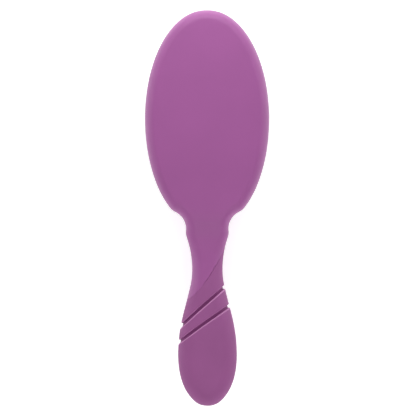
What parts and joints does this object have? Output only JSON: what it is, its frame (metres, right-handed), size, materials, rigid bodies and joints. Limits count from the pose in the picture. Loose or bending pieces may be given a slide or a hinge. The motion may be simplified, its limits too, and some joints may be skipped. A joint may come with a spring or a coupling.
{
  "type": "detangling brush",
  "caption": "Oval cushion hairbrush: ball-tipped pins on a sprung rubber pad, a flat-backed paddle head, and a waisted handle with soft grips split by diagonal grooves.",
  "frame": {"origin": "middle of the length and width of the brush, on the plane of the ball tips", "axes": "+Y along the handle towards the head, +Z out of the back of the head, away from the pins, +X to the right seen from the back with the head up"},
  "size_m": [0.0698, 0.2218, 0.0375],
  "materials": {
    "shell": "soft-touch matt purple",
    "grip": "matt over-moulded elastomer, purple",
    "bezel": "satin purple",
    "cushion": "matt natural rubber, deep purple",
    "backing": "dark rubberised cloth",
    "bristle": "drawn nylon, purple",
    "tip": "glossy epoxy, pale purple"
  },
  "bodies": {
    "brush": {"paddle_body": "shell", "grip_collar": "grip", "grip_band": "grip", "grip_pommel": "grip", "cushion_bezel": "bezel"},
    "pad": {"cushion": "cushion", "backing_sheet": "backing"},
    "row_01": {"bristles_row_01": "bristle", "bristle_tips_01": "tip"},
    "row_02": {"bristles_row_02": "bristle", "bristle_tips_02": "tip"},
    "row_03": {"bristles_row_03": "bristle", "bristle_tips_03": "tip"},
    "row_04": {"bristles_row_04": "bristle", "bristle_tips_04": "tip"},
    "row_05": {"bristles_row_05": "bristle", "bristle_tips_05": "tip"},
    "row_06": {"bristles_row_06": "bristle", "bristle_tips_06": "tip"},
    "row_07": {"bristles_row_07": "bristle", "bristle_tips_07": "tip"},
    "row_08": {"bristles_row_08": "bristle", "bristle_tips_08": "tip"},
    "row_09": {"bristles_row_09": "bristle", "bristle_tips_09": "tip"}
  },
  "joints": [
    {"name": "cushion_press", "type": "slide", "parent": "brush", "child": "pad", "axis": [0, 0, 1], "range_m": [0, 0.003], "stiffness_N_per_m": 3000, "deforming": ["cushion"]},
    {"name": "bristle_row_01_flex", "type": "hinge", "parent": "pad", "child": "row_01", "pos_m": [-0.0224, 0.0495, 0.0189], "axis": [0, 1, 0], "range_deg": [-12, 12], "stiffness_Nm_per_rad": 0.112},
    {"name": "bristle_row_02_flex", "type": "hinge", "parent": "pad", "child": "row_02", "pos_m": [-0.0168, 0.0495, 0.0189], "axis": [0, 1, 0], "range_deg": [-12, 12], "stiffness_Nm_per_rad": 0.224},
    {"name": "bristle_row_03_flex", "type": "hinge", "parent": "pad", "child": "row_03", "pos_m": [-0.0112, 0.0495, 0.0189], "axis": [0, 1, 0], "range_deg": [-12, 12], "stiffness_Nm_per_rad": 0.272},
    {"name": "bristle_row_04_flex", "type": "hinge", "parent": "pad", "child": "row_04", "pos_m": [-0.0056, 0.0495, 0.0189], "axis": [0, 1, 0], "range_deg": [-12, 12], "stiffness_Nm_per_rad": 0.288},
    {"name": "bristle_row_05_flex", "type": "hinge", "parent": "pad", "child": "row_05", "pos_m": [0, 0.0495, 0.0189], "axis": [0, 1, 0], "range_deg": [-12, 12], "stiffness_Nm_per_rad": 0.304},
    {"name": "bristle_row_06_flex", "type": "hinge", "parent": "pad", "child": "row_06", "pos_m": [0.0056, 0.0495, 0.0189], "axis": [0, 1, 0], "range_deg": [-12, 12], "stiffness_Nm_per_rad": 0.288},
    {"name": "bristle_row_07_flex", "type": "hinge", "parent": "pad", "child": "row_07", "pos_m": [0.0112, 0.0495, 0.0189], "axis": [0, 1, 0], "range_deg": [-12, 12], "stiffness_Nm_per_rad": 0.272},
    {"name": "bristle_row_08_flex", "type": "hinge", "parent": "pad", "child": "row_08", "pos_m": [0.0168, 0.0495, 0.0189], "axis": [0, 1, 0], "range_deg": [-12, 12], "stiffness_Nm_per_rad": 0.224},
    {"name": "bristle_row_09_flex", "type": "hinge", "parent": "pad", "child": "row_09", "pos_m": [0.0224, 0.0495, 0.0189], "axis": [0, 1, 0], "range_deg": [-12, 12], "stiffness_Nm_per_rad": 0.112}
  ]
}
